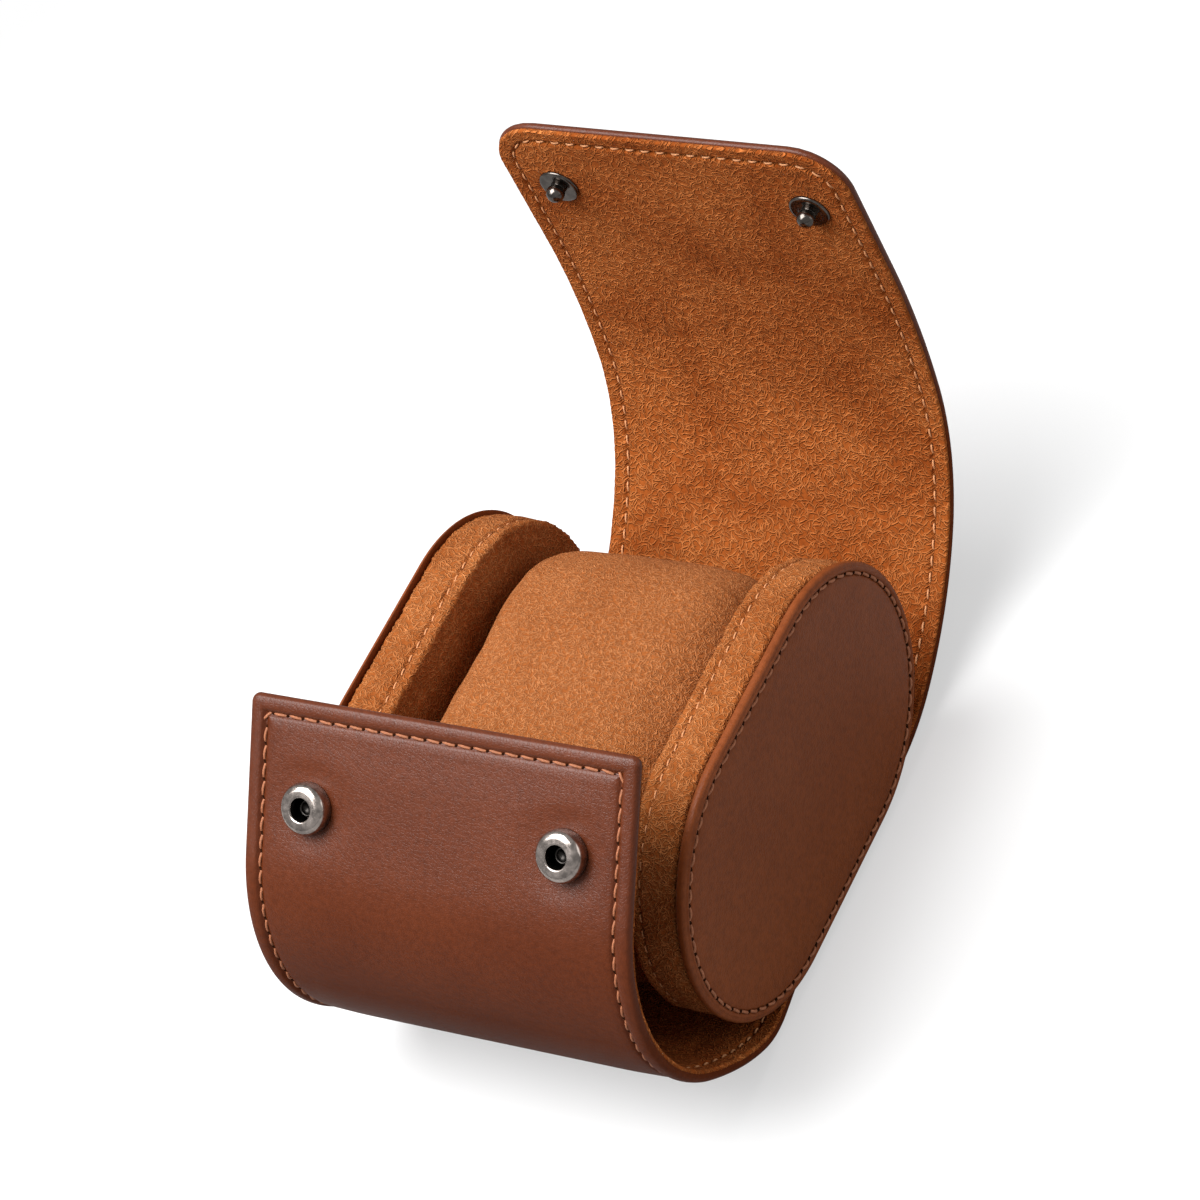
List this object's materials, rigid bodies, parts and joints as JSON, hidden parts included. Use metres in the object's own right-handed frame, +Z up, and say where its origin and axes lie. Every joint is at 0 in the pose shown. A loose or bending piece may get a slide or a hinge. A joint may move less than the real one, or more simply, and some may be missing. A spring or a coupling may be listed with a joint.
{
  "type": "watch travel case",
  "caption": "Leather travel case for a watch: a wrap with a flap closes over two padded round-ended walls and a lift-out cushion, held by press snaps.",
  "frame": {"origin": "middle of the flat base, on the surface it lies on", "axes": "+X along the width to the right wall, +Y towards the flap, -Y towards the front panel, +Z up"},
  "size_m": [0.1, 0.1807, 0.138],
  "materials": {
    "leather": "smooth, soft sheen",
    "suede": "napped suede",
    "board": "matt stiffening board",
    "foam": "soft foam",
    "nickel": "aged nickel silver",
    "gunmetal": "dark polished gunmetal"
  },
  "bodies": {
    "case": {"base_leather": "leather", "base_board": "board", "base_lining": "suede", "left_face_leather": "leather", "left_wall_core": "foam", "left_wall_suede": "suede", "right_face_leather": "leather", "right_wall_core": "foam", "right_wall_suede": "suede"},
    "front_lower": {"front_lower_leather": "leather", "front_lower_board": "board", "front_lower_lining": "suede"},
    "front_belly": {"front_belly_leather": "leather", "front_belly_board": "board", "front_belly_lining": "suede"},
    "front_top": {"front_top_leather": "leather", "front_top_board": "board", "front_top_lining": "suede", "snap_sockets": "nickel", "socket_springs": "nickel", "socket_caps": "nickel"},
    "flap_1": {"flap_1_leather": "leather", "flap_1_board": "board", "flap_1_lining": "suede"},
    "flap_2": {"flap_2_leather": "leather", "flap_2_board": "board", "flap_2_lining": "suede"},
    "flap_3": {"flap_3_leather": "leather", "flap_3_board": "board", "flap_3_lining": "suede"},
    "flap_4": {"flap_4_leather": "leather", "flap_4_board": "board", "flap_4_lining": "suede"},
    "flap_5": {"flap_5_leather": "leather", "flap_5_board": "board", "flap_5_lining": "suede", "snap_studs": "gunmetal", "stud_caps": "gunmetal"},
    "cushion": {"cushion_cover": "suede", "cushion_foam": "foam"}
  },
  "joints": [
    {"name": "flap_1_bend", "type": "hinge", "parent": "case", "child": "flap_1", "pos_m": [0, 0.0296, 0.0024], "axis": [1, 0, 0], "range_deg": [0, 12.6], "stiffness_Nm_per_rad": 0.03},
    {"name": "flap_2_bend", "type": "hinge", "parent": "flap_1", "child": "flap_2", "pos_m": [0, 0.05047, 0.00441], "axis": [1, 0, 0], "range_deg": [0, 30]},
    {"name": "flap_3_bend", "type": "hinge", "parent": "flap_2", "child": "flap_3", "pos_m": [0, 0.0841, 0.0271], "axis": [1, 0, 0], "range_deg": [0, 20.84]},
    {"name": "flap_4_bend", "type": "hinge", "parent": "flap_3", "child": "flap_4", "pos_m": [0, 0.09958, 0.05956], "axis": [1, 0, 0], "range_deg": [0, 16.51]},
    {"name": "flap_5_bend", "type": "hinge", "parent": "flap_4", "child": "flap_5", "pos_m": [0, 0.10089, 0.09697], "axis": [1, 0, 0], "range_deg": [0, 10.05]},
    {"name": "front_lower_bend", "type": "hinge", "parent": "case", "child": "front_lower", "pos_m": [0, -0.0296, 0.0024], "axis": [-1, 0, 0], "range_deg": [0, 12.96], "stiffness_Nm_per_rad": 0.03},
    {"name": "front_belly_bend", "type": "hinge", "parent": "front_lower", "child": "front_belly", "pos_m": [0, -0.06381, 0.02027], "axis": [-1, 0, 0], "range_deg": [0, 15.76]},
    {"name": "front_top_bend", "type": "hinge", "parent": "front_belly", "child": "front_top", "pos_m": [0, -0.06381, 0.07392], "axis": [-1, 0, 0], "range_deg": [0, 13.33]},
    {"name": "cushion_lift", "type": "slide", "parent": "case", "child": "cushion", "axis": [0, 0.2419, 0.9703], "range_m": [0, 0.112]}
  ],
  "couplings": [
    {"joint": "flap_2_bend", "follows": "flap_1_bend", "ratio": 2.3802},
    {"joint": "flap_3_bend", "follows": "flap_1_bend", "ratio": 1.6532},
    {"joint": "flap_4_bend", "follows": "flap_1_bend", "ratio": 1.3095},
    {"joint": "flap_5_bend", "follows": "flap_1_bend", "ratio": 0.79683},
    {"joint": "front_belly_bend", "follows": "front_lower_bend", "ratio": 1.2153},
    {"joint": "front_top_bend", "follows": "front_lower_bend", "ratio": 1.0278}
  ]
}
